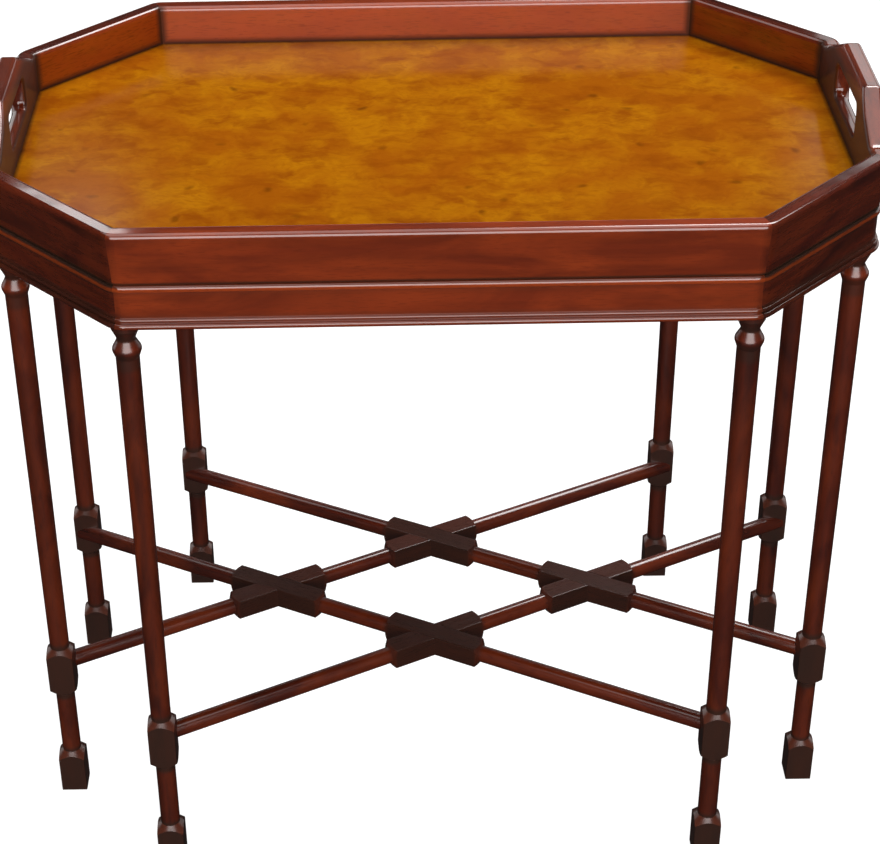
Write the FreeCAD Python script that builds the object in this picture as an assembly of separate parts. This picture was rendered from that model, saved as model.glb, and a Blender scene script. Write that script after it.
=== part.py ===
import FreeCAD, Part
import math
import os

# Tray top tea table: an octagonal tray that lifts off a stand of eight turned legs and crossed stretchers.
# Millimetres, +Z up, +X along the table. The origin is on the floor under the middle of the table.

# Plan of the tray and the frame, one octagon with corners cut at 45 degrees
table_length = 722.0
table_depth = 452.0
corner_cut = 110.0

# Heights of the stand from the floor up
stretcher_height = 142.0
leg_height = 576.0
base_height = 9.0
rail_height = 23.0
bead_height = 6.0

# Frame of the stand
rail_thickness = 20.0
bead_projection = 1.6
bead_top_radius = 3.2
bead_low_radius = 1.4
base_upper_projection = 2.2
base_lower_projection = 3.8
base_quirk_width = 1.0
base_quirk_depth = 1.4
base_upper_height = 3.2
base_roundness = 0.48
block_arm = 32.0
block_thickness = 14.0
block_height = 19.0

# Legs
leg_inset = 13.5
leg_square = 24.0
leg_flat = 37.0
foot_flat = 37.0
upper_shaft_top = 19.2
upper_shaft_low = 18.0
lower_shaft = 17.5
ring_diameter = 24.6
ring_radius = 5.0
ring_top_slope = 9.5
ring_low_slope = 7.5
neck_diameter = 14.6
neck_radius = 4.0
cap_diameter = 23.0
cap_height = 6.0
cap_slope = 9.5
leg_tenon_diameter = 12.0
leg_tenon_length = 24.0
shoulder_angle = 45.0
arris_radius = 1.0

# Stretchers
rod_diameter = 15.5
cross_square = 20.5
cross_half_length = 45.5
cross_shoulder_angle = 25.0
rod_past_corner = 3.0
rod_housing = 20.0

# Tray
tray_seat_gap = 0.3
wall_height = 46.0
wall_thickness = 12.0
wall_corner_radius = 14.0
rim_lean = 5.0
wall_outer_radius = 4.0
wall_inner_radius = 4.5
wall_foot_radius = 1.5
rebate_depth = 6.0
core_thickness = 9.0
veneer_thickness = 0.6
crest_share = 11 / 29
crest_rise_share = 55 / 232
crest_angle = 26.0
crest_radius = 8.0
crest_lean = 4.8
flare_start = 3.0
flare_angle = 45.0
curl_radius = 18.0
crest_bridge = 18.3
hand_hole_above_floor = 16.0
hand_hole_corner = 7.0
hand_hole_inner_radius = 3.0
hand_hole_outer_radius = 8.0
batten_end_gap = 30.0
batten_width = 18.0
batten_height = 14.0
batten_side_gap = 1.5
batten_screws_each = 3

# Wood screws and fits
screw_diameter = 3.5
screw_head_diameter = 7.0
screw_head_height = 2.4
screw_tip_length = 4.0
block_screw_bite = 11.0
batten_screw_bite = 8.0
fit_gap = 0.1
tolerance = 0.001

# Levels and half sizes that follow from the sizes above
half_length = table_length / 2
half_depth = table_depth / 2
rail_bottom = leg_height + base_height
rail_top = rail_bottom + rail_height
frame_top = rail_top + bead_height
tray_bottom = frame_top + tray_seat_gap
core_bottom = tray_bottom + veneer_thickness
core_top = core_bottom + core_thickness
tray_floor = core_top + veneer_thickness
rim_height = tray_bottom + wall_height
end_half = half_depth - corner_cut
crest_half_length = crest_share * end_half
crest_rise = crest_rise_share * end_half
crest_height = rim_height + crest_rise
hand_hole_length = 2 * crest_half_length
hand_hole_height = crest_height - crest_bridge - hand_hole_above_floor - tray_floor
flare_level = rim_height + flare_start
flare_rise = crest_rise - flare_start
flare_radius = (flare_rise ** 2 + crest_lean ** 2) / (2 * crest_lean)
cut_reach = 2 * rail_thickness

corner_names = ["front_left", "front_right", "right_front", "right_rear",
                "back_right", "back_left", "left_rear", "left_front"]
side_names = ["front", "front_right", "right", "back_right", "back", "back_left", "left", "front_left"]
side_count = len(side_names)
half_turn = 180.0 / side_count

# Stretchers by the corners they join; each pair of parallel stretchers is lapped the same way
lapped_on_top = [("front_left", "right_rear"), ("left_front", "back_right")]
lapped_below = [("front_right", "left_rear"), ("right_front", "back_left")]

Vector = FreeCAD.Vector
up = Vector(0, 0, 1)


def octagon(inset):
    """Corners of the plan octagon, anticlockwise from front left, moved in by inset on every side."""
    x = half_length - inset
    y = half_depth - inset
    cut = corner_cut - inset * (2 - math.sqrt(2))
    return [Vector(cut - x, -y), Vector(x - cut, -y), Vector(x, cut - y), Vector(x, y - cut),
            Vector(x - cut, y), Vector(cut - x, y), Vector(-x, y - cut), Vector(-x, cut - y)]


def side_axes(side):
    """Start corner, direction along the side, direction into the table and length of one side."""
    corners = octagon(0)
    start = corners[side]
    run = corners[(side + 1) % side_count] - start
    along = Vector(run).normalize()
    return start, along, up.cross(along), run.Length


def rounded_wire(corners, place):
    """Closed wire through corners (a, b, radius), with a tangent arc at each corner that has a radius."""
    points = [place(a, b) for a, b, radius in corners]
    pieces = []
    for index, (a, b, radius) in enumerate(corners):
        here = points[index]
        back = (points[index - 1] - here).normalize()
        ahead = (points[(index + 1) % len(points)] - here).normalize()
        if radius == 0:
            pieces.append((here, None, here))
            continue
        half_angle = back.getAngle(ahead) / 2
        reach = radius / math.tan(half_angle)
        inward = (back + ahead).normalize()
        middle = here + inward * (radius / math.sin(half_angle) - radius)
        pieces.append((here + back * reach, middle, here + ahead * reach))
    edges = []
    for index, (first, middle, last) in enumerate(pieces):
        if middle:
            edges.append(Part.Arc(first, middle, last).toShape())
        following = pieces[(index + 1) % len(pieces)][0]
        if last.distanceToPoint(following) > tolerance:
            edges.append(Part.LineSegment(last, following).toShape())
    return Part.Wire(edges)


def plate(points, bottom, height, radius=0):
    """Flat solid over a plan outline, with upright sides and corners of one radius."""
    corners = [(point.x, point.y, radius) for point in points]
    return Part.Face(rounded_wire(corners, lambda x, y: Vector(x, y, bottom))).extrude(up * height)


def turned(corners):
    """Solid turned about the vertical axis from an outline of radii and heights."""
    wire = rounded_wire(corners, lambda radius, height: Vector(radius, 0, height))
    return Part.Face(wire).revolve(Vector(), up, 360)


def one_solid(shape):
    """The shape without seams left by joining its pieces."""
    return shape.removeSplitter().Solids[0]


def save(name, shape):
    shape.exportStep(os.path.join("parts", name + ".step"))


def straight_run(side, radius):
    """First point, direction and length of a side's straight run, between corners rounded to a radius."""
    start, along, inward, length = side_axes(side)
    reach = radius * math.tan(math.radians(half_turn))
    return start + along * reach, along, length - 2 * reach


def outline_face(side, corners, radius):
    """Cross-section of a strip at the start of its side's straight run, from (depth, height, radius)."""
    first = straight_run(side, radius)[0]
    inward = side_axes(side)[2]
    return Part.Face(rounded_wire(corners, lambda depth, height: first + inward * depth + up * height))


def rounded_ends(side, outline, radius):
    """The cross-section swept round both corners of its side, as far as the mitres."""
    first, along, length = straight_run(side, radius)
    centre = first + side_axes(side)[2] * radius
    following = outline.copy()
    following.translate(along * length)
    far_centre = centre + along * length
    return [outline.revolve(centre, -up, half_turn), following.revolve(far_centre, up, half_turn)]


def strip(side, corners, radius):
    """Moulding along one side, mitred in the middle of the rounded corners at both ends."""
    outline = outline_face(side, corners, radius)
    first, along, length = straight_run(side, radius)
    return one_solid(outline.extrude(along * length).fuse(rounded_ends(side, outline, radius)))


def screw(grip, bite):
    """Countersunk wood screw with the top of its head at the origin and its point upwards."""
    head = screw_head_diameter / 2
    shank = screw_diameter / 2
    length = grip + bite
    return turned([(0, 0, 0), (head, 0, 0), (shank, screw_head_height, 0),
                   (shank, length - screw_tip_length, 0), (0, length, 0)])


def screw_hole(grip, bite):
    """The space that a screw needs: its own shape, larger all round by the fit."""
    head = screw_head_diameter / 2 + fit_gap
    shank = screw_diameter / 2 + fit_gap
    length = grip + bite
    return turned([(0, -fit_gap, 0), (head, -fit_gap, 0), (head, 0, 0), (shank, screw_head_height, 0),
                   (shank, length - screw_tip_length, 0), (0, length + fit_gap, 0)])


def aimed(shape, position, direction):
    """A shape made along the vertical axis, turned to a direction and moved to a position."""
    placed = shape.copy()
    placed.Placement = FreeCAD.Placement(position, FreeCAD.Rotation(up, direction))
    return placed


def shouldered_square(square, flat, low_radius, high_radius, angle):
    """Square block left on a turned piece, centred on the origin; its ends slope to the round shafts."""
    slope = math.tan(math.radians(angle))
    corner = square / math.sqrt(2)
    wide = corner + fit_gap
    low = flat / 2 + (corner - low_radius) * slope
    high = flat / 2 + (corner - high_radius) * slope
    edge = flat / 2 - (wide - corner) * slope
    spindle = turned([(0, -low, 0), (low_radius, -low, 0), (wide, -edge, 0),
                      (wide, edge, 0), (high_radius, high, 0), (0, high, 0)])
    stock = Part.makeBox(square, square, low + high, Vector(-square / 2, -square / 2, -low))
    arrises = [edge for edge in stock.Edges if edge.BoundBox.ZLength > tolerance]
    return stock.makeFillet(arris_radius, arrises).common(spindle)


def leg_places():
    """Axis of each leg on the floor, by corner name."""
    return dict(zip(corner_names, octagon(leg_inset)))


def stretcher_ends():
    """The two corners of every stretcher."""
    return lapped_on_top + lapped_below


def rod_pass(corner):
    """Point in plan where a stretcher's axis passes the inner corner of a leg's square block."""
    place = leg_places()[corner]
    half = leg_square / 2
    return place - Vector(math.copysign(half, place.x), math.copysign(half + rod_past_corner, place.y))


def rod_direction(start, end):
    return (rod_pass(end) - rod_pass(start)).normalize()


def rod_end(start, end):
    """Point in plan where a stretcher's axis ends inside the block of the leg that it starts from."""
    return rod_pass(start) - rod_direction(start, end) * rod_housing


def crossings(start, end):
    """Points where one stretcher crosses the two stretchers that are lapped the other way."""
    others = lapped_below if (start, end) in lapped_on_top else lapped_on_top
    origin = rod_pass(start)
    direction = rod_direction(start, end)
    points = []
    for other_start, other_end in others:
        other = rod_direction(other_start, other_end)
        offset = rod_pass(other_start) - origin
        distance = offset.cross(other).z / direction.cross(other).z
        points.append(origin + direction * distance)
    return points


def leg_blank():
    """One leg on the origin, before its housing is cut: foot, shafts, block, ring, neck, cap and tenon."""
    low = lower_shaft / 2
    waist = upper_shaft_low / 2
    neck = neck_diameter / 2
    cap = cap_diameter / 2
    cap_bottom = leg_height - cap_height
    neck_level = cap_bottom - cap_slope
    ring_level = neck_level - ring_top_slope
    tenon = leg_tenon_diameter / 2
    shafts = turned([
        (0, foot_flat / 2, 0),
        (low, foot_flat / 2, 0),
        (low, stretcher_height, 0),
        (waist, stretcher_height, 0),
        (upper_shaft_top / 2, ring_level - ring_low_slope, 0),
        (ring_diameter / 2, ring_level, ring_radius),
        (neck, neck_level, neck_radius),
        (cap, cap_bottom, 0),
        (cap, leg_height, 0),
        (tenon, leg_height, 0),
        (tenon, leg_height + leg_tenon_length, 0),
        (0, leg_height + leg_tenon_length, 0)])
    block = shouldered_square(leg_square, leg_flat, low, waist, shoulder_angle)
    block.translate(up * stretcher_height)
    foot = shouldered_square(leg_square, 2 * foot_flat, low, low, shoulder_angle)
    floor_corner = Vector(-leg_square / 2, -leg_square / 2, 0)
    above_floor = Part.makeBox(leg_square, leg_square, leg_height, floor_corner)
    return shafts.fuse([block, foot.common(above_floor)])


def make_legs():
    """Eight legs, each with a housing in its inner corner for the stretcher that ends in it."""
    blank = leg_blank()
    places = leg_places()
    for ends in stretcher_ends():
        for start, end in (ends, ends[::-1]):
            leg = blank.copy()
            leg.translate(places[start])
            housing = Part.makeCylinder(rod_diameter / 2 + fit_gap, 2 * leg_square)
            bottom = rod_end(start, end) + up * stretcher_height
            save("leg_" + start, one_solid(leg.cut(aimed(housing, bottom, rod_direction(start, end)))))


def half_stock(start, end, side):
    """The upper (side 1) or lower (side -1) half of the square stock of one stretcher, at full length."""
    first = rod_end(start, end)
    length = (rod_end(end, start) - first).Length
    half = cross_square / 2
    bottom = 0 if side > 0 else -half
    stock = Part.makeBox(length, cross_square, half, Vector(0, -half, bottom))
    turn = FreeCAD.Rotation(Vector(1, 0, 0), rod_direction(start, end))
    stock.Placement = FreeCAD.Placement(first + up * stretcher_height, turn)
    return stock


def make_stretchers():
    """Four stretchers, let into the inner corners of the leg blocks and half-lapped over each other."""
    rod_radius = rod_diameter / 2
    flat = 2 * cross_half_length
    block = shouldered_square(cross_square, flat, rod_radius, rod_radius, cross_shoulder_angle)
    for start, end in stretcher_ends():
        direction = rod_direction(start, end)
        first = rod_end(start, end)
        length = (rod_end(end, start) - first).Length
        rod = aimed(Part.makeCylinder(rod_radius, length), first + up * stretcher_height, direction)
        flat_turn = FreeCAD.Rotation(Vector(1, 0, 0), direction)
        lying = FreeCAD.Rotation(Vector(0, 1, 0), 90)
        for point in crossings(start, end):
            crossing = block.copy()
            crossing.Placement = FreeCAD.Placement(point + up * stretcher_height, flat_turn.multiply(lying))
            rod = rod.fuse(crossing)
        on_top = (start, end) in lapped_on_top
        others = lapped_below if on_top else lapped_on_top
        for other in others:
            rod = rod.cut(half_stock(other[0], other[1], 1 if on_top else -1))
        save("stretcher_" + start + "_to_" + end, one_solid(rod))


def tenon_bores():
    """Bores for the leg tenons through the base moulding and into the mitres of the rails."""
    radius = leg_tenon_diameter / 2 + fit_gap
    height = leg_tenon_length + fit_gap
    return [Part.makeCylinder(radius, height, place + up * leg_height) for place in octagon(leg_inset)]


def block_screw_lines(side):
    """Head position and driving direction of the two corner block screws that enter one rail."""
    start, along, inward, length = side_axes(side)
    inner = octagon(rail_thickness)
    level = up * (rail_bottom + block_height / 2)
    from_face = inward * block_thickness
    near = inner[side] + along * (block_arm / 2)
    far = inner[(side + 1) % side_count] - along * (block_arm / 2)
    return [(near + from_face + level, -inward), (far + from_face + level, -inward)]


def make_frame():
    """Rails, bead and base moulding of the stand, each in eight mitred lengths."""
    bores = tenon_bores()
    hole = screw_hole(block_thickness, block_screw_bite)
    quirk_top = rail_bottom - base_upper_height
    quirk_low = quirk_top - base_quirk_width
    upper_radius = base_roundness * base_upper_height
    lower_radius = base_roundness * (quirk_low - leg_height)
    quirk_depth = base_quirk_depth - base_upper_projection
    rail_outline = [(0, rail_bottom, 0), (0, rail_top, 0), (rail_thickness, rail_top, 0),
                    (rail_thickness, rail_bottom, 0)]
    bead_outline = [(-bead_projection, rail_top, bead_low_radius),
                    (-bead_projection, frame_top, bead_top_radius),
                    (rail_thickness, frame_top, 0),
                    (rail_thickness, rail_top, 0)]
    base_outline = [(rail_thickness, leg_height, 0),
                    (-base_lower_projection, leg_height, lower_radius),
                    (-base_lower_projection, quirk_low, lower_radius),
                    (quirk_depth, quirk_low, 0),
                    (quirk_depth, quirk_top, 0),
                    (-base_upper_projection, quirk_top, upper_radius),
                    (-base_upper_projection, rail_bottom, upper_radius),
                    (rail_thickness, rail_bottom, 0)]
    for side, name in enumerate(side_names):
        holes = [aimed(hole, position, direction) for position, direction in block_screw_lines(side)]
        save("rail_" + name, one_solid(strip(side, rail_outline, rail_thickness).cut(bores + holes)))
        save("bead_" + name, strip(side, bead_outline, rail_thickness))
        save("base_moulding_" + name, one_solid(strip(side, base_outline, rail_thickness).cut(bores)))


def make_corner_blocks():
    """Angled blocks behind the mitres of the rails, and the screws that hold them."""
    inner = octagon(rail_thickness)
    back = octagon(rail_thickness + block_thickness)
    hole = screw_hole(block_thickness, block_screw_bite)
    fastener = screw(block_thickness, block_screw_bite)
    screws = []
    holes = []
    for side in range(side_count):
        for position, direction in block_screw_lines(side):
            screws.append(aimed(fastener, position, direction))
            holes.append(aimed(hole, position, direction))
    for corner, name in enumerate(corner_names):
        start, along, inward, length = side_axes(corner)
        before_start, before, before_inward, before_length = side_axes(corner - 1)
        reach = inner[corner] + along * block_arm
        before_reach = inner[corner] - before * block_arm
        plan = [inner[corner], reach, reach + inward * block_thickness, back[corner],
                before_reach + before_inward * block_thickness, before_reach]
        block = plate(plan, rail_bottom, block_height)
        save("corner_block_" + name, one_solid(block.cut(holes)))
    save("corner_block_screws", Part.Compound(screws))


def wall_outline():
    """Cross-section of a tray wall, with a leaning outer face, a rounded rim and a rebate for the panel."""
    return [(0, tray_bottom, wall_foot_radius),
            (-rim_lean, rim_height, wall_outer_radius),
            (wall_thickness, rim_height, wall_inner_radius),
            (wall_thickness, core_top, 0),
            (rebate_depth, core_top, 0),
            (rebate_depth, tray_bottom, 0)]


def outer_depth(height):
    """Depth into the table of a wall's outer face."""
    return -rim_lean * (height - tray_bottom) / wall_height


def inner_depth(height):
    """Depth into the table of a handle wall's inner face, which curves outwards above the flare level."""
    rise = max(height - flare_level, 0)
    return wall_thickness - flare_radius + math.sqrt(flare_radius ** 2 - rise ** 2)


def face_edges(shape, middle, inward, face_depth, low, high):
    """Edges around a handle wall's face between two levels, without the line where its flare starts."""
    found = []
    for edge in shape.Edges:
        points = edge.discretize(3)
        on_face = all(abs((point - middle).dot(inward) - face_depth(point.z)) < tolerance for point in points)
        in_range = all(low - tolerance < point.z < high + tolerance for point in points)
        at_flare = all(abs(point.z - flare_level) < tolerance for point in points)
        if on_face and in_range and not at_flare:
            found.append(edge)
    return found


def flared_board(side):
    """Board for an end wall: its outer face leans out, and its inner face is scooped out above the rim."""
    first, along, length = straight_run(side, wall_corner_radius)
    inward = side_axes(side)[2]
    limit = math.radians(flare_angle)
    board_top = flare_level + flare_radius * math.sin(limit)

    def place(depth, height):
        return first + inward * depth + up * height

    def on_flare(angle):
        rise = flare_radius * math.sin(angle)
        return place(wall_thickness - flare_radius * (1 - math.cos(angle)), flare_level + rise)

    foot = place(0, tray_bottom)
    outer_top = place(outer_depth(board_top), board_top)
    inner_foot = place(wall_thickness, tray_bottom)
    edges = [Part.LineSegment(foot, outer_top),
             Part.LineSegment(outer_top, on_flare(limit)),
             Part.Arc(on_flare(limit), on_flare(limit / 2), on_flare(0)),
             Part.LineSegment(on_flare(0), inner_foot),
             Part.LineSegment(inner_foot, foot)]
    wire = Part.Wire([edge.toShape() for edge in edges])
    return Part.Face(wire).extrude(along * length)


def handle_wall(side):
    """End wall of the tray that rises to a flat crest over a long hand hole."""
    first, along, length = straight_run(side, wall_corner_radius)
    inward = side_axes(side)[2]
    middle = first + along * (length / 2)
    reach = length / 2
    curl = crest_half_length + crest_rise / math.tan(math.radians(crest_angle))
    through = inward * (2 * cut_reach)

    def place(across, height):
        return middle - inward * cut_reach + along * across + up * height

    outline = Part.Face(rounded_wire([
        (-reach, tray_bottom, 0),
        (reach, tray_bottom, 0),
        (reach, rim_height, 0),
        (curl, rim_height, curl_radius),
        (crest_half_length, crest_height, crest_radius),
        (-crest_half_length, crest_height, crest_radius),
        (-curl, rim_height, curl_radius),
        (-reach, rim_height, 0)], place))
    wall = flared_board(side).common(outline.extrude(through))
    top = (rim_height, crest_height)
    foot = (tray_bottom, tray_bottom)
    wall = wall.makeFillet(wall_outer_radius, face_edges(wall, middle, inward, outer_depth, *top))
    wall = wall.makeFillet(wall_inner_radius, face_edges(wall, middle, inward, inner_depth, *top))
    wall = wall.makeFillet(wall_foot_radius, face_edges(wall, middle, inward, outer_depth, *foot))

    hole_low = tray_floor + hand_hole_above_floor
    hole_high = hole_low + hand_hole_height
    half_hole = hand_hole_length / 2
    hole = Part.Face(rounded_wire([
        (-half_hole, hole_low, hand_hole_corner),
        (half_hole, hole_low, hand_hole_corner),
        (half_hole, hole_high, hand_hole_corner),
        (-half_hole, hole_high, hand_hole_corner)], place))
    wall = wall.cut(hole.extrude(through))
    for face_depth, radius in ((outer_depth, hand_hole_outer_radius), (inner_depth, hand_hole_inner_radius)):
        around = face_edges(wall, middle, inward, face_depth, hole_low, hole_high)
        wall = wall.makeFillet(radius, around)

    rebate = Part.makeBox(length, wall_thickness, core_top - tray_bottom)
    turn = FreeCAD.Rotation(Vector(1, 0, 0), along)
    rebate.Placement = FreeCAD.Placement(first + inward * rebate_depth + up * tray_bottom, turn)
    ends = rounded_ends(side, outline_face(side, wall_outline(), wall_corner_radius), wall_corner_radius)
    return one_solid(wall.cut(rebate).fuse(ends))


def batten_places():
    """Outer side of each batten as +1 (back) or -1 (front), with its name."""
    return [(-1, "front"), (1, "back")]


def batten_run():
    """Length of a batten, which lies along the front or back rail between two corner blocks."""
    inner = octagon(rail_thickness)
    return inner[1].x - inner[0].x - 2 * (block_arm + batten_end_gap)


def batten_screw_points():
    """Top of each batten screw's head, on the underside of the battens."""
    batten_length = batten_run()
    middle = half_depth - rail_thickness - batten_side_gap - batten_width / 2
    step = batten_length / batten_screws_each
    points = []
    for side, name in batten_places():
        for count in range(batten_screws_each):
            x = (count + 0.5) * step - batten_length / 2
            points.append(Vector(x, side * middle, tray_bottom - batten_height))
    return points


def make_tray():
    """Walls, panel with its two veneers, and the battens that locate the tray on the stand."""
    for side, name in enumerate(side_names):
        is_handle = name in ("left", "right")
        wall = handle_wall(side) if is_handle else strip(side, wall_outline(), wall_corner_radius)
        save("tray_wall_" + name, wall)
    hole = screw_hole(batten_height, batten_screw_bite)
    fastener = screw(batten_height, batten_screw_bite)
    holes = [aimed(hole, point, up) for point in batten_screw_points()]
    plan = octagon(rebate_depth)
    plan_radius = wall_corner_radius - rebate_depth
    veneer_inset = wall_thickness + fit_gap
    veneer_radius = wall_corner_radius - veneer_inset
    save("tray_backing_veneer", one_solid(plate(plan, tray_bottom, veneer_thickness, plan_radius).cut(holes)))
    save("tray_core", one_solid(plate(plan, core_bottom, core_thickness, plan_radius).cut(holes)))
    save("tray_burl_veneer", plate(octagon(veneer_inset), core_top, veneer_thickness, veneer_radius))
    outer = half_depth - rail_thickness - batten_side_gap
    batten_length = batten_run()
    for side, name in batten_places():
        near = outer if side < 0 else batten_width - outer
        corner = Vector(-batten_length / 2, -near, tray_bottom - batten_height)
        batten = Part.makeBox(batten_length, batten_width, batten_height, corner)
        save("batten_" + name, one_solid(batten.cut(holes)))
    save("batten_screws", Part.Compound([aimed(fastener, point, up) for point in batten_screw_points()]))


os.makedirs("parts", exist_ok=True)
make_legs()
make_stretchers()
make_frame()
make_corner_blocks()
make_tray()
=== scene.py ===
import math

import bpy
from mathutils import Matrix, Vector


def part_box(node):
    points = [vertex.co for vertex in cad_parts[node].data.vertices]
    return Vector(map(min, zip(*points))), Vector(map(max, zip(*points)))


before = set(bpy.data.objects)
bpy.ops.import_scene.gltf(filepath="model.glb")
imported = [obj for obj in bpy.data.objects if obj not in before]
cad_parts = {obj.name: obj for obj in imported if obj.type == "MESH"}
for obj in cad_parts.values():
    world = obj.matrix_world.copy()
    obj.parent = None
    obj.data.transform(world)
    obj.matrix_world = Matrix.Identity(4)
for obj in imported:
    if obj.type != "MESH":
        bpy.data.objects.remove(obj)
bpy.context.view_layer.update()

# Legs
# Eight legs, each turned from one square length of mahogany, with the foot and the stretcher block left
# square. They were stained red-brown, French polished and waxed. The wax has gone dark on the squares, and
# the hollows of the turnings are darkened with wax and painted shade.

corner_names = ["front_left", "front_right", "right_front", "right_rear",
                "back_right", "back_left", "left_rear", "left_front"]


def linear(colour):
    """The linear colour, with full alpha, of an sRGB hex value."""
    parts = [int(colour[place:place + 2], 16) / 255 for place in (1, 3, 5)]
    return [part / 12.92 if part <= 0.04045 else ((part + 0.055) / 1.055) ** 2.4 for part in parts] + [1.0]


def set_inputs(tree, node, inputs):
    """Gives each input of a node a value, a socket to take it from, or a node whose first output it takes."""
    for key, value in inputs.items():
        socket = node.inputs[key] if isinstance(key, int) else next(
            each for each in node.inputs if each.enabled and each.name == key)
        if isinstance(value, bpy.types.Node):
            value = next(each for each in value.outputs if each.enabled)
        if isinstance(value, bpy.types.NodeSocket):
            tree.links.new(value, socket)
        else:
            socket.default_value = value


def add_node(tree, kind, inputs, **settings):
    """Adds a node with its settings and its inputs."""
    made = tree.nodes.new(kind)
    for setting, value in settings.items():
        setattr(made, setting, value)
    set_inputs(tree, made, inputs)
    return made


def new_material(name):
    """A material with its node tree, its shader and the place on the object, in metres."""
    material = bpy.data.materials.new(name)
    material.use_nodes = True
    tree = material.node_tree
    place = add_node(tree, "ShaderNodeTexCoord", {}).outputs["Object"]
    return material, tree, tree.nodes["Principled BSDF"], place


def clean(tree, place):
    """The answer, as a mask, of a surface that has none of what the mask stands for."""
    return 0.0


def polished_mahogany(name, turn, wax_and_shade_mask, glow, blotch, wear_and_painted_light=clean, wax_and_shade_colour="#33231A", polish=0.09, dulling=0.0):
    """French polished mahogany: straight dark and light figure along the grain, open pores drawn coarse
    enough to show, blotches of stain, and a clear hard polish that is slightly wavy from the rubber. Under
    the polish the fibres throw a red glow back across the grain. Turn brings the grain onto the pattern's X
    axis, in degrees. Wax and painted shade give the dark colour, and wear and painted light the paler wood;
    two masks take the node tree and the place and give the share of each there. Glow and blotch say how much
    the fibres and the stain show, polish how rough the clear coat is, and dulling how much of the shine the
    darkened places lose."""
    figure_length, figure_width = 0.190, 0.010
    pore_length, pore_width = 0.009, 0.0008
    stain_length, stain_width, wave_size = 0.110, 0.035, 0.028
    dark_figure, light_figure, blotch_stain = linear("#2A0C06"), linear("#5C1D0D"), linear("#983C16")
    # The pale wood colour stands for polish worn thin and for painted light.
    wear_and_painted_light_wood, pore_shadow, fibre_glow = linear("#B84A14"), linear("#1C0905"), linear("#FF6428")
    pore_depth, full_fibre_shine = 0.4, 0.5
    material, tree, shader, place = new_material(name)
    grain = add_node(tree, "ShaderNodeMapping", {
        "Vector": place, "Rotation": [math.radians(angle) for angle in turn]})
    figure_place = add_node(tree, "ShaderNodeVectorMath", {
        0: grain, 1: (1 / figure_length, 1 / figure_width, 1 / figure_width)}, operation="MULTIPLY")
    figure = add_node(tree, "ShaderNodeTexNoise", {
        "Vector": figure_place, "Scale": 1.0, "Detail": 4.0, "Roughness": 0.6, "Distortion": 0.6})
    pore_place = add_node(tree, "ShaderNodeVectorMath", {
        0: grain, 1: (1 / pore_length, 1 / pore_width, 1 / pore_width)}, operation="MULTIPLY")
    pore_noise = add_node(tree, "ShaderNodeTexNoise", {"Vector": pore_place, "Scale": 1.0, "Detail": 1.0})
    pores = add_node(tree, "ShaderNodeMapRange", {"Value": pore_noise, "From Min": 0.56, "From Max": 0.70})
    stain_place = add_node(tree, "ShaderNodeVectorMath", {
        0: grain, 1: (1 / stain_length, 1 / stain_width, 1 / stain_width)}, operation="MULTIPLY")
    stain = add_node(tree, "ShaderNodeTexNoise", {
        "Vector": stain_place, "Scale": 1.0, "Detail": 3.0, "Roughness": 0.6, "Distortion": 0.8})
    waves = add_node(tree, "ShaderNodeTexNoise", {"Vector": place, "Scale": 1 / wave_size, "Detail": 1.0})

    figure_share = add_node(tree, "ShaderNodeMapRange", {"Value": figure, "From Min": 0.30, "From Max": 0.68})
    wood = add_node(tree, "ShaderNodeMix", {
        "Factor": figure_share, "A": dark_figure, "B": light_figure}, data_type="RGBA")
    stain_share = add_node(tree, "ShaderNodeMapRange", {
        "Value": stain, "From Min": 0.38, "From Max": 0.72, "To Max": blotch})
    stained = add_node(tree, "ShaderNodeMix", {
        "Factor": stain_share, "A": wood, "B": blotch_stain}, data_type="RGBA")
    # Paler wood where the second mask says: wear and painted light.
    paler = add_node(tree, "ShaderNodeMix", {
        "Factor": wear_and_painted_light(tree, place), "A": stained, "B": wear_and_painted_light_wood}, data_type="RGBA")
    pore_share = add_node(tree, "ShaderNodeMath", {0: pores, 1: pore_depth}, operation="MULTIPLY")
    pored = add_node(tree, "ShaderNodeMix", {
        "Factor": pore_share, "A": paler, "B": pore_shadow}, data_type="RGBA")
    # Dark colour where the first mask says: wax and painted shade; the same share dulls the shine below.
    wax_and_shade_share = wax_and_shade_mask(tree, place)
    waxed_and_shaded = add_node(tree, "ShaderNodeMix", {
        "Factor": wax_and_shade_share, "A": pored, "B": linear(wax_and_shade_colour)}, data_type="RGBA")
    dulled = add_node(tree, "ShaderNodeMath", {0: wax_and_shade_share, 1: dulling}, operation="MULTIPLY")
    shine = add_node(tree, "ShaderNodeMath", {0: 1.0, 1: dulled}, operation="SUBTRACT")
    fibre_shine = add_node(tree, "ShaderNodeMath", {0: shine, 1: full_fibre_shine}, operation="MULTIPLY")
    roughness = add_node(tree, "ShaderNodeMapRange", {"Value": stain, "To Min": 0.46, "To Max": 0.74})
    wave_bump = add_node(tree, "ShaderNodeBump", {"Height": waves, "Strength": 0.5, "Distance": 0.0003})
    pore_bump = add_node(tree, "ShaderNodeBump", {
        "Height": pores, "Strength": 0.4, "Distance": 0.00005, "Normal": wave_bump}, invert=True)
    fibre = Matrix.Rotation(math.radians(-turn[2]), 3, "Z") @ Matrix.Rotation(math.radians(-turn[1]), 3, "Y")
    fibre_way = add_node(tree, "ShaderNodeCombineXYZ", dict(zip("XYZ", fibre @ Vector((1, 0, 0)))))
    set_inputs(tree, shader, {
        "Base Color": waxed_and_shaded, "Roughness": roughness, "Normal": pore_bump, "Coat Normal": wave_bump,
        "Tangent": fibre_way, "Anisotropic": 0.8, "Anisotropic Rotation": 0.25,
        "IOR": glow, "Specular IOR Level": fibre_shine, "Specular Tint": fibre_glow,
        "Coat Weight": shine, "Coat IOR": 1.9, "Coat Roughness": polish})
    return material


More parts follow.
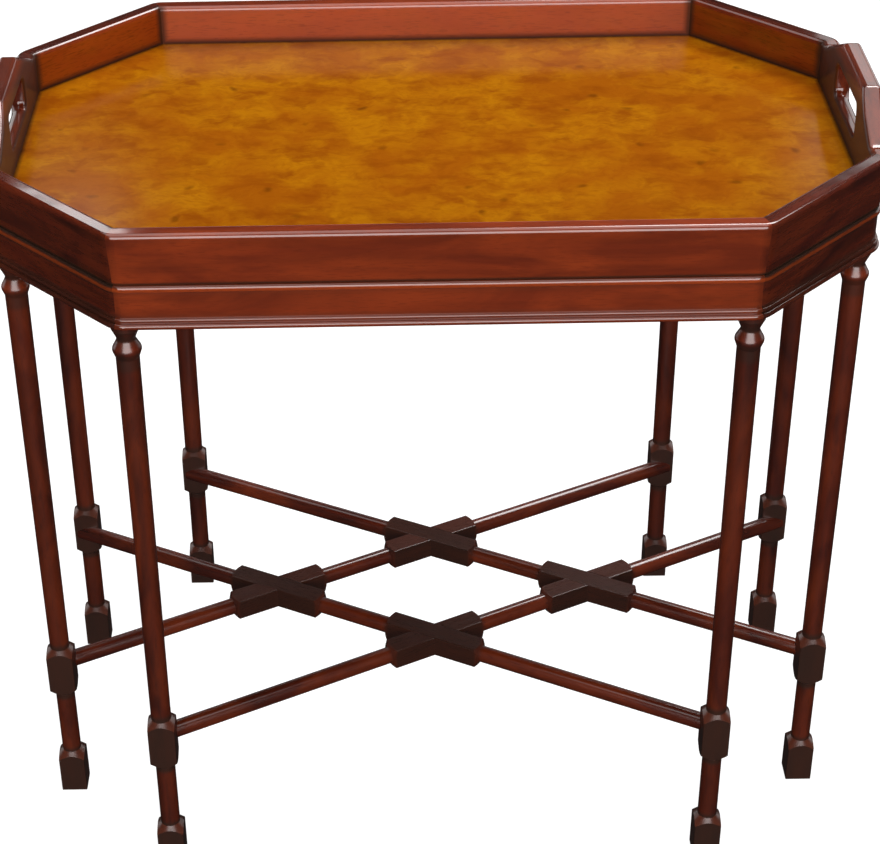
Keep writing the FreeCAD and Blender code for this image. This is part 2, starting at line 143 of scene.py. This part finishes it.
def height_band(tree, height, mask_so_far, middle, half, strength, fade=0.004):
    """Adds to a mask a band round one height, in metres, that fades out over a few millimetres."""
    offset = add_node(tree, "ShaderNodeMath", {0: height, 1: middle}, operation="SUBTRACT")
    distance = add_node(tree, "ShaderNodeMath", {0: offset}, operation="ABSOLUTE")
    band = add_node(tree, "ShaderNodeMapRange", {
        "Value": distance, "From Min": half, "From Max": half + fade, "To Min": strength, "To Max": 0.0})
    return add_node(tree, "ShaderNodeMath", {0: mask_so_far, 1: band}, operation="MAXIMUM")


def leg_wax_and_painted_shade(tree, place):
    """Wax on the square foot and block. Wax and painted shade in the hollows of the neck and under the ring
    and the cap.
    """
    height = add_node(tree, "ShaderNodeSeparateXYZ", {"Vector": place}).outputs["Z"]
    foot, block, under_ring, neck, under_cap = 0.018, 0.142, 0.541, 0.562, 0.570
    mask_so_far = 0.0
    # The neck, under_ring and under_cap bands are painted shade in the hollows over wax; the foot and block
    # bands are wax.
    for middle, half, strength in ((foot, 0.029, 0.85), (block, 0.030, 0.85), (neck, 0.003, 0.75),
                                   (under_ring, 0.006, 0.55), (under_cap, 0.0005, 0.6)):
        mask_so_far = height_band(tree, height, mask_so_far, middle, half, strength)
    return mask_so_far


def finish(nodes, material):
    """Gives CAD nodes their material."""
    for name in nodes:
        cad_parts[name].material_slots[0].material = material


finish([f"leg_{corner}" for corner in corner_names],
       polished_mahogany("french_polished_mahogany_legs", (0, 90, 0), leg_wax_and_painted_shade,
                         glow=1.8, blotch=0.5, polish=0.28))

# Stretchers
# Four turned mahogany rods with two square blocks left on each, half-lapped where they cross and let into the
# inner corners of the leg blocks. The blocks are dark with wax and handling, and the rods are redder.

stretchers_by_turn = {"front_left_to_right_rear": -1, "left_front_to_back_right": -1,
                      "front_right_to_left_rear": 1, "right_front_to_back_left": 1}
crossing_side = Vector((0.0, 0.0773, 0.142))
crossing_end = Vector((0.1502, 0.0, 0.142))
stretcher_angle = math.degrees(math.atan2(crossing_side.y, crossing_end.x))


def crossing_soil(tree, place):
    """Wax on the square blocks round the four crossings, which mirror each other in X and in Y."""
    folded = add_node(tree, "ShaderNodeVectorMath", {0: place}, operation="ABSOLUTE")
    to_side = add_node(tree, "ShaderNodeVectorMath", {0: folded, 1: crossing_side}, operation="DISTANCE")
    to_end = add_node(tree, "ShaderNodeVectorMath", {0: folded, 1: crossing_end}, operation="DISTANCE")
    nearest = add_node(tree, "ShaderNodeMath", {
        0: to_side.outputs["Value"], 1: to_end.outputs["Value"]}, operation="MINIMUM")
    return add_node(tree, "ShaderNodeMapRange", {
        "Value": nearest, "From Min": 0.046, "From Max": 0.053, "To Min": 0.88, "To Max": 0.0})


for run, way in (("rising", -1), ("falling", 1)):
    finish([f"stretcher_{name}" for name, turn in stretchers_by_turn.items() if turn == way],
           polished_mahogany(f"french_polished_mahogany_stretchers_{run}", (0, 0, way * stretcher_angle),
                             crossing_soil, glow=1.6, blotch=0.55, wax_and_shade_colour="#271A13", polish=0.2))

# Frame of the stand
# Eight mahogany rails mitred into an octagon, with a moulding planted under them and a small bead on top of
# them. The bead is paler along its middle, where the polish is worn thin, and that band is also a painted
# highlight. Wax and painted shade darken the lines between the strips and the quirk of the moulding, and a
# painted shadow runs under the tray. Each run of strips has its turn, glow, blotch and sides.

rail_bottom, rail_top, base_quirk, bead_middle, tray_seam = 0.585, 0.608, 0.5813, 0.6105, 0.6145
strip_runs = {"lengthways": (0, 2.3, 0.8, ["front", "back"]), "crossways": (90, 1.8, 0.8, ["left", "right"]),
              "rising_corners": (-45, 1.25, 0.4, ["front_right", "back_left"]),
              "falling_corners": (45, 1.25, 0.4, ["front_left", "back_right"])}


def frame_wax_and_painted_shade(tree, place):
    """Wax and painted shade in the lines where the bead and the base moulding meet the rails and in the quirk
    of the moulding, and a painted shadow under the tray.
    """
    height = add_node(tree, "ShaderNodeSeparateXYZ", {"Vector": place}).outputs["Z"]
    mask_so_far = 0.0
    # Wax and painted shade in the joint lines and in the quirk.
    for middle, strength in ((rail_bottom, 0.6), (rail_top, 0.35), (base_quirk, 0.6)):
        mask_so_far = height_band(tree, height, mask_so_far, middle, 0.0003, strength)
    # Painted shadow under the tray, at the seam.
    return height_band(tree, height, mask_so_far, tray_seam, 0.0012, 0.95, 0.002)


def worn_bead_with_painted_highlight(tree, place):
    """Paler wood along the middle of the bead, where the polish is worn thin, which is also a painted
    highlight.
    """
    height = add_node(tree, "ShaderNodeSeparateXYZ", {"Vector": place}).outputs["Z"]
    return height_band(tree, height, 0.0, bead_middle, 0.0008, 0.6, 0.0015)


for run, (turn, glow, blotch, sides) in strip_runs.items():
    finish([f"{strip}_{side}" for strip in ("rail", "bead", "base_moulding") for side in sides],
           polished_mahogany(f"french_polished_mahogany_frame_{run}", (0, 0, turn), frame_wax_and_painted_shade, glow, blotch,
                             worn_bead_with_painted_highlight))

# Tray walls
# Eight mahogany strips mitred at the corners, rounded along the top, with the two end strips sawn into
# handles. Black wax and painted shade lie where the walls meet the floor of the tray and each other, and dull
# the polish there. The inner faces of the end walls carry painted shade, and a painted shadow runs along the
# bottom edge outside. Painted light makes the other inner faces paler than the outsides.

inner_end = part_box("tray_wall_right")[0].x
inner_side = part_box("tray_wall_back")[0].y
inner_end_half_length = 0.1110
inner_corner_sum = inner_end + inner_end_half_length
tray_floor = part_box("tray_burl_veneer")[1].z


def depth_inside_tray(tree, place):
    """How far a place is inside the nearest inner face of the walls, in metres: below zero in the walls. On
    the inner face of a corner wall, X and Y add up to the same sum everywhere."""
    folded = add_node(tree, "ShaderNodeVectorMath", {0: place}, operation="ABSOLUTE")
    parts = add_node(tree, "ShaderNodeSeparateXYZ", {"Vector": folded})
    to_end = add_node(tree, "ShaderNodeMath", {0: inner_end, 1: parts.outputs["X"]}, operation="SUBTRACT")
    to_side = add_node(tree, "ShaderNodeMath", {0: inner_side, 1: parts.outputs["Y"]}, operation="SUBTRACT")
    reach = add_node(tree, "ShaderNodeMath", {0: parts.outputs["X"], 1: parts.outputs["Y"]}, operation="ADD")
    spare = add_node(tree, "ShaderNodeMath", {0: inner_corner_sum, 1: reach}, operation="SUBTRACT")
    to_corner = add_node(tree, "ShaderNodeMath", {0: spare, 1: math.sqrt(0.5)}, operation="MULTIPLY")
    straight = add_node(tree, "ShaderNodeMath", {0: to_end, 1: to_side}, operation="MINIMUM")
    return add_node(tree, "ShaderNodeMath", {0: straight, 1: to_corner}, operation="MINIMUM")


def inside_walls(tree, place):
    """The inner faces of the walls, as far as the round of the rim."""
    return add_node(tree, "ShaderNodeMapRange", {
        "Value": depth_inside_tray(tree, place), "From Min": -0.004, "From Max": -0.001})


def painted_light_inside(tree, place):
    """Painted light: the inner faces are made paler, strongly up to 0.20 m right of the middle and only
    faintly beyond 0.26 m.
    """
    across = add_node(tree, "ShaderNodeSeparateXYZ", {"Vector": place}).outputs["X"]
    # Painted light: paler inner faces, less so towards the right end.
    share = add_node(tree, "ShaderNodeMapRange", {
        "Value": across, "From Min": 0.20, "From Max": 0.26, "To Min": 0.5, "To Max": 0.15})
    return add_node(tree, "ShaderNodeMath", {0: inside_walls(tree, place), 1: share}, operation="MULTIPLY")


def wall_wax_and_painted_shade(tree, place):
    """Wax and painted shade along the floor of the tray and up the inner corners, a painted shadow along the
    bottom edge outside, and painted shade over the inner faces of the end walls."""
    height = add_node(tree, "ShaderNodeSeparateXYZ", {"Vector": place}).outputs["Z"]
    # Wax and painted shade along the floor of the tray.
    low = add_node(tree, "ShaderNodeMapRange", {
        "Value": height, "From Min": tray_floor + 0.001, "From Max": tray_floor + 0.006,
        "To Min": 0.9, "To Max": 0.0})
    mask_so_far = add_node(tree, "ShaderNodeMath", {0: inside_walls(tree, place), 1: low}, operation="MULTIPLY")
    folded = add_node(tree, "ShaderNodeVectorMath", {0: place}, operation="ABSOLUTE")
    across = add_node(tree, "ShaderNodeSeparateXYZ", {"Vector": folded}).outputs["X"]
    # Painted shade over the inner faces of the end walls.
    ends = add_node(tree, "ShaderNodeMapRange", {
        "Value": across, "From Min": inner_end - 0.002, "From Max": inner_end - 0.001, "To Max": 0.9})
    end_shade = add_node(tree, "ShaderNodeMath", {0: inside_walls(tree, place), 1: ends}, operation="MULTIPLY")
    mask_so_far = add_node(tree, "ShaderNodeMath", {0: mask_so_far, 1: end_shade}, operation="MAXIMUM")
    flat = add_node(tree, "ShaderNodeVectorMath", {0: folded, 1: (1, 1, 0)}, operation="MULTIPLY")
    # Wax and painted shade up the inner corners.
    for corner in ((inner_corner_sum - inner_side, inner_side, 0), (inner_end, inner_end_half_length, 0)):
        away = add_node(tree, "ShaderNodeVectorMath", {0: flat, 1: corner}, operation="DISTANCE")
        line = add_node(tree, "ShaderNodeMapRange", {
            "Value": away.outputs["Value"], "From Min": 0.0015, "From Max": 0.007,
            "To Min": 0.9, "To Max": 0.0})
        mask_so_far = add_node(tree, "ShaderNodeMath", {0: mask_so_far, 1: line}, operation="MAXIMUM")
    # Painted shadow along the bottom edge outside, at the tray seam.
    return height_band(tree, height, mask_so_far, tray_seam, 0.0012, 0.95, 0.002)


for run, (turn, glow, blotch, sides) in strip_runs.items():
    finish([f"tray_wall_{side}" for side in sides],
           polished_mahogany(f"french_polished_mahogany_walls_{run}", (0, 0, turn), wall_wax_and_painted_shade, glow, blotch,
                             clean if run == "crossways" else painted_light_inside, dulling=0.8))

# Tray floor
# A thin sheet of burl laid on the panel, golden brown with red-brown clouds and small eyes, and polished
# flush. It is darker in the corner against the walls, with wax and painted shade.


def polished_burl(name):
    """Burl veneer: amber with yellow clouds, red-brown patches drawn out along the table, fine curl, eyes."""
    swirl_size, swirl_reach = 0.030, 0.022
    cloud_size, patch_size, curl_size, eye_spacing = 0.055, 0.018, 0.006, 0.042
    amber, yellow, red_brown = linear("#AE5E0A"), linear("#C2780A"), linear("#964808")
    curl_brown, eye_brown, wax_and_shade_brown = linear("#A05208"), linear("#6A3206"), linear("#2A1A10")
    material, tree, shader, place = new_material(name)
    swirl = add_node(tree, "ShaderNodeTexNoise", {"Vector": place, "Scale": 1 / swirl_size, "Detail": 3.0})
    swirl_way = add_node(tree, "ShaderNodeVectorMath", {
        0: swirl.outputs["Color"], 1: (-0.5, -0.5, -0.5)}, operation="ADD")
    curled = add_node(tree, "ShaderNodeVectorMath", {
        0: swirl_way, 1: (swirl_reach, swirl_reach, 0.0), 2: place}, operation="MULTIPLY_ADD")
    drawn_out = add_node(tree, "ShaderNodeVectorMath", {0: curled, 1: (0.6, 1.0, 1.0)}, operation="MULTIPLY")
    cloud = add_node(tree, "ShaderNodeTexNoise", {
        "Vector": curled, "Scale": 1 / cloud_size, "Detail": 4.0, "Roughness": 0.6})
    patch = add_node(tree, "ShaderNodeTexNoise", {
        "Vector": drawn_out, "Scale": 1 / patch_size, "Detail": 5.0, "Roughness": 0.6})
    curl = add_node(tree, "ShaderNodeTexNoise", {
        "Vector": drawn_out, "Scale": 1 / curl_size, "Detail": 3.0, "Roughness": 0.6, "Distortion": 1.2})
    eyes = add_node(tree, "ShaderNodeTexVoronoi", {"Vector": curled, "Scale": 1 / eye_spacing})
    eye_share = add_node(tree, "ShaderNodeMapRange", {
        "Value": eyes.outputs["Distance"], "From Min": 0.04, "From Max": 0.13, "To Min": 0.6, "To Max": 0.0})

    cloud_share = add_node(tree, "ShaderNodeMapRange", {"Value": cloud, "From Min": 0.40, "From Max": 0.62})
    ground = add_node(tree, "ShaderNodeMix", {
        "Factor": cloud_share, "A": amber, "B": yellow}, data_type="RGBA")
    patch_share = add_node(tree, "ShaderNodeMapRange", {
        "Value": patch, "From Min": 0.48, "From Max": 0.68, "To Max": 0.85})
    patched = add_node(tree, "ShaderNodeMix", {
        "Factor": patch_share, "A": ground, "B": red_brown}, data_type="RGBA")
    curl_share = add_node(tree, "ShaderNodeMapRange", {
        "Value": curl, "From Min": 0.45, "From Max": 0.70, "To Max": 0.5})
    curly = add_node(tree, "ShaderNodeMix", {
        "Factor": curl_share, "A": patched, "B": curl_brown}, data_type="RGBA")
    eyed = add_node(tree, "ShaderNodeMix", {
        "Factor": eye_share, "A": curly, "B": eye_brown}, data_type="RGBA")
    # Wax and painted shade: darker within a few millimetres of the walls.
    edge = add_node(tree, "ShaderNodeMapRange", {
        "Value": depth_inside_tray(tree, place), "From Min": 0.0005, "From Max": 0.004,
        "To Min": 0.8, "To Max": 0.0})
    waxed_and_shaded = add_node(tree, "ShaderNodeMix", {"Factor": edge, "A": eyed, "B": wax_and_shade_brown}, data_type="RGBA")
    roughness = add_node(tree, "ShaderNodeMapRange", {"Value": cloud, "To Min": 0.12, "To Max": 0.20})
    bump = add_node(tree, "ShaderNodeBump", {"Height": curl, "Strength": 0.3, "Distance": 0.00008})
    set_inputs(tree, shader, {"Base Color": waxed_and_shaded, "Roughness": roughness, "Normal": bump, "IOR": 1.18})
    return material


finish(["tray_burl_veneer"], polished_burl("polished_burl_veneer"))

# Hidden woods
# The panel core, the backing veneer, the corner blocks and the battens are plain pine, planed and left bare.


def bare_pine(name, turn):
    """Planed pine: pale straw with narrow brown growth lines along the grain, dry and matt."""
    ring_width, ring_length = 0.004, 0.160
    material, tree, shader, place = new_material(name)
    grain = add_node(tree, "ShaderNodeMapping", {"Vector": place, "Rotation": (0, 0, math.radians(turn))})
    ring_place = add_node(tree, "ShaderNodeVectorMath", {
        0: grain, 1: (1 / ring_length, 1 / ring_width, 1 / ring_width)}, operation="MULTIPLY")
    rings = add_node(tree, "ShaderNodeTexNoise", {"Vector": ring_place, "Scale": 1.0, "Detail": 3.0})
    ring_share = add_node(tree, "ShaderNodeMapRange", {"Value": rings, "From Min": 0.4, "From Max": 0.65})
    wood = add_node(tree, "ShaderNodeMix", {
        "Factor": ring_share, "A": linear("#B98E5E"), "B": linear("#8A5E36")}, data_type="RGBA")
    roughness = add_node(tree, "ShaderNodeMapRange", {"Value": rings, "To Min": 0.6, "To Max": 0.8})
    bump = add_node(tree, "ShaderNodeBump", {"Height": rings, "Strength": 0.5, "Distance": 0.0002})
    set_inputs(tree, shader, {"Base Color": wood, "Roughness": roughness, "Normal": bump})
    return material


finish(["tray_core", "tray_backing_veneer", "batten_front", "batten_back"],
       bare_pine("bare_pine_lengthways", 0))
finish([f"corner_block_{corner}" for corner in corner_names], bare_pine("bare_pine_corner_blocks", 22))

# Screws
# Steel wood screws hold the corner blocks and the battens. They are dulled by age.


def dull_steel(name):
    """Old drawn steel: grey, with brown tarnish in patches that are rougher than the bare metal."""
    tarnish_size = 0.003
    material, tree, shader, place = new_material(name)
    tarnish = add_node(tree, "ShaderNodeTexNoise", {
        "Vector": place, "Scale": 1 / tarnish_size, "Detail": 3.0})
    tarnish_share = add_node(tree, "ShaderNodeMapRange", {
        "Value": tarnish, "From Min": 0.45, "From Max": 0.65})
    metal = add_node(tree, "ShaderNodeMix", {
        "Factor": tarnish_share, "A": linear("#8C8A86"), "B": linear("#5A4030")}, data_type="RGBA")
    roughness = add_node(tree, "ShaderNodeMapRange", {"Value": tarnish, "To Min": 0.30, "To Max": 0.60})
    set_inputs(tree, shader, {"Base Color": metal, "Roughness": roughness, "Metallic": 1.0})
    return material


finish(["corner_block_screws", "batten_screws"], dull_steel("dull_steel_screws"))

# Studio floor
# A wide plain white floor with a round white backdrop, bright enough that they hardly take a shadow. The
# polish doesn't mirror them.

studio_radius, studio_height = 30.0, 30.0
bpy.ops.object.select_all(action="DESELECT")
bpy.ops.mesh.primitive_plane_add(size=2 * studio_radius)
floor = bpy.context.object
floor.name = "studio_floor"
bpy.ops.mesh.primitive_cylinder_add(
    vertices=96, radius=studio_radius, depth=studio_height, end_fill_type="NOTHING",
    location=(0, 0, studio_height / 2))
backdrop = bpy.context.object
backdrop.name = "studio_backdrop"
backdrop.visible_shadow = False
sweep, sweep_tree, paper, sweep_place = new_material("white_paper_sweep")
set_inputs(sweep_tree, paper, {
    "Base Color": linear("#A0A0A0"), "Roughness": 0.9,
    "Emission Color": linear("#FFFFFF"), "Emission Strength": 0.93})
for sheet in (floor, backdrop):
    sheet.visible_glossy = False
    sheet.visible_diffuse = False
    sheet.data.materials.append(sweep)

# Studio light
# Soft boxes overhead and high behind, and a wide window behind the camera, give most of the light. Two low
# fills light the legs from behind. A small lamp behind on the left brightens the near left rim, one on the
# right lies on the right handle, and a low strip edges the near rims.

aim = Vector((0.0, 0.0, 0.55))
for name, place, size, watts in (
        ("overhead_softbox", (0.0, 0.2, 2.6), (2.4, 2.6), 24),
        ("high_back_softbox", (1.4, 2.0, 3.7), (2.4, 1.2), 63),
        ("low_left_fill", (-3.2, 2.4, 1.15), (4.0, 2.2), 27),
        ("low_right_fill", (3.2, 2.4, 1.15), (4.0, 2.2), 27),
        ("front_window", (0.1, -3.7, 2.0), (4.5, 3.0), 136),
        ("back_left_lamp", (-0.72, 2.44, 2.07), (0.22, 0.16), 0.4),
        ("back_right_lamp", (0.96, 2.23, 1.69), (0.32, 0.30), 0.4),
        ("low_back_strip", (0.0, 3.2, 0.95), (2.5, 0.25), 3)):
    bpy.ops.object.light_add(type="AREA", location=place)
    softbox = bpy.context.object
    softbox.name = name
    softbox.data.shape = "RECTANGLE"
    softbox.data.size, softbox.data.size_y = size
    softbox.data.energy = watts
    softbox.rotation_euler = (aim - Vector(place)).to_track_quat("-Z", "Y").to_euler()
    softbox.visible_camera = False

# Walls of the studio
# Grey behind the camera and darker behind the table, so that the polish mirrors no bright wall to the camera.

studio = bpy.data.worlds.new("studio")
bpy.context.scene.world = studio
studio.use_nodes = True
walls = studio.node_tree
way = add_node(walls, "ShaderNodeTexCoord", {}).outputs["Generated"]
ahead = add_node(walls, "ShaderNodeSeparateXYZ", {"Vector": way}).outputs["Y"]
dimming = add_node(walls, "ShaderNodeMapRange", {"Value": ahead, "From Min": -1.0, "From Max": 0.1})
shade = add_node(walls, "ShaderNodeMix", {
    "Factor": dimming, "A": linear("#424242"), "B": linear("#202020")}, data_type="RGBA")
set_inputs(walls, walls.nodes["Background"], {"Color": shade})
bpy.context.scene.view_settings.view_transform = "Standard"

# Camera
# It looks down on the near long side from chest height, through a long lens, framed a little off its axis.

camera_place = Vector((-0.03844, -1.66942, 1.43444))
yaw, pitch, roll = (math.radians(angle) for angle in (-0.32, -32.73, 1.07))
forward = Vector((math.sin(yaw) * math.cos(pitch), math.cos(yaw) * math.cos(pitch), math.sin(pitch)))
level = Vector((math.cos(yaw), -math.sin(yaw), 0.0))
below = forward.cross(level)
right = level * math.cos(roll) + below * math.sin(roll)
down = below * math.cos(roll) - level * math.sin(roll)
bpy.ops.object.camera_add()
camera = bpy.context.object
turned = Matrix((right, -down, -forward)).transposed().to_4x4()
camera.matrix_world = Matrix.Translation(camera_place) @ turned
camera.data.lens = 88.37
camera.data.sensor_width = 36.0
camera.data.shift_x = 0.0682
camera.data.shift_y = -0.025
bpy.context.scene.camera = camera
